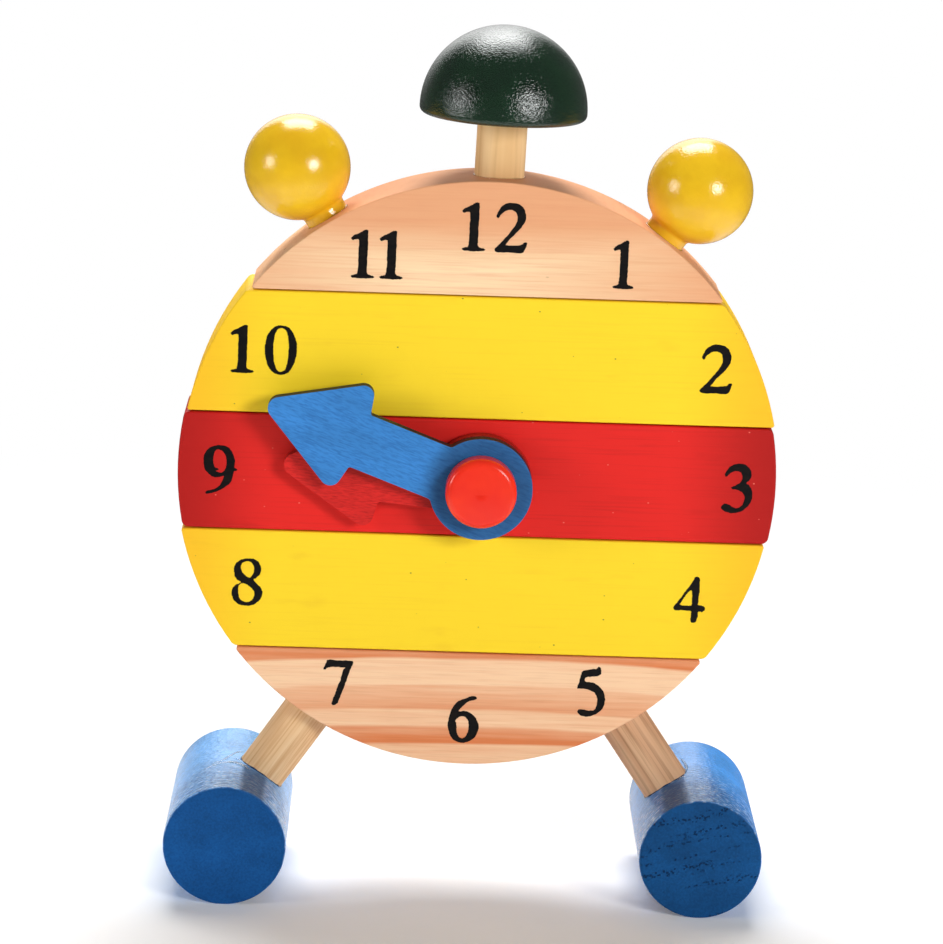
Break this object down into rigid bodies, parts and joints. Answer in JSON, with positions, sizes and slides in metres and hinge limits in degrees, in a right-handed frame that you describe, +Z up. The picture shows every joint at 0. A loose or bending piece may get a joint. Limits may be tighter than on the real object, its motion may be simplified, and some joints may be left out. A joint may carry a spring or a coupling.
{
  "type": "teaching clock",
  "caption": "Wooden take-apart teaching clock: a round dial sawn into slats stacked on pillars, two arrow hands on a knobbed peg, ball bells, a mushroom hammer and round feet.",
  "frame": {"origin": "on the ground under the middle of the clock, half way between the feet and half way along them", "axes": "+Z up, the dial faces -Y, +X to the right as one looks at the dial"},
  "size_m": [0.121, 0.042, 0.1774],
  "materials": {
    "pine": "sanded bare pine with reddish growth bands",
    "natural_wood": "sanded bare light wood, fine grain",
    "dowel_wood": "bare hardwood dowel",
    "yellow_paint": "thin satin yellow paint over wood",
    "red_paint": "thin satin red paint over wood",
    "blue_paint": "satin blue paint over wood",
    "green_gloss": "gloss dark green lacquer over turned wood",
    "yellow_gloss": "gloss yellow lacquer over a turned ball",
    "red_stain": "red stain on thin plywood, dark sawn edges",
    "blue_stain": "blue stain on thin plywood, dark sawn edges",
    "red_gloss": "gloss red lacquer over a turned peg"
  },
  "bodies": {
    "base": {"bottom_slat": "pine", "pillar_left": "dowel_wood", "pillar_right": "dowel_wood", "leg_left": "dowel_wood", "leg_right": "dowel_wood", "foot_left": "blue_paint", "foot_right": "blue_paint"},
    "lower_yellow": {"lower_yellow_slat": "yellow_paint"},
    "red": {"red_slat": "red_paint", "hand_peg": "red_gloss"},
    "upper_yellow": {"upper_yellow_slat": "yellow_paint"},
    "top": {"top_slat": "natural_wood", "hammer_stem": "dowel_wood", "hammer_cap": "green_gloss", "ball_left": "yellow_gloss", "ball_right": "yellow_gloss", "ball_peg_left": "dowel_wood", "ball_peg_right": "dowel_wood"},
    "hour": {"hour_hand": "red_stain"},
    "minute": {"minute_hand": "blue_stain"}
  },
  "joints": [
    {"name": "lower_yellow_lift", "type": "slide", "parent": "base", "child": "lower_yellow", "axis": [0, 0, 1], "range_m": [0, 0.09]},
    {"name": "red_lift", "type": "slide", "parent": "lower_yellow", "child": "red", "axis": [0, 0, 1], "range_m": [0, 0.065]},
    {"name": "upper_yellow_lift", "type": "slide", "parent": "red", "child": "upper_yellow", "axis": [0, 0, 1], "range_m": [0, 0.04]},
    {"name": "top_lift", "type": "slide", "parent": "upper_yellow", "child": "top", "axis": [0, 0, 1], "range_m": [0, 0.015]},
    {"name": "hour_turn", "type": "hinge", "parent": "red", "child": "hour", "pos_m": [0.0012, -0.009, 0.0867], "axis": [0, 1, 0], "continuous": true},
    {"name": "minute_turn", "type": "hinge", "parent": "red", "child": "minute", "pos_m": [0.0012, -0.009, 0.0867], "axis": [0, 1, 0], "continuous": true}
  ]
}
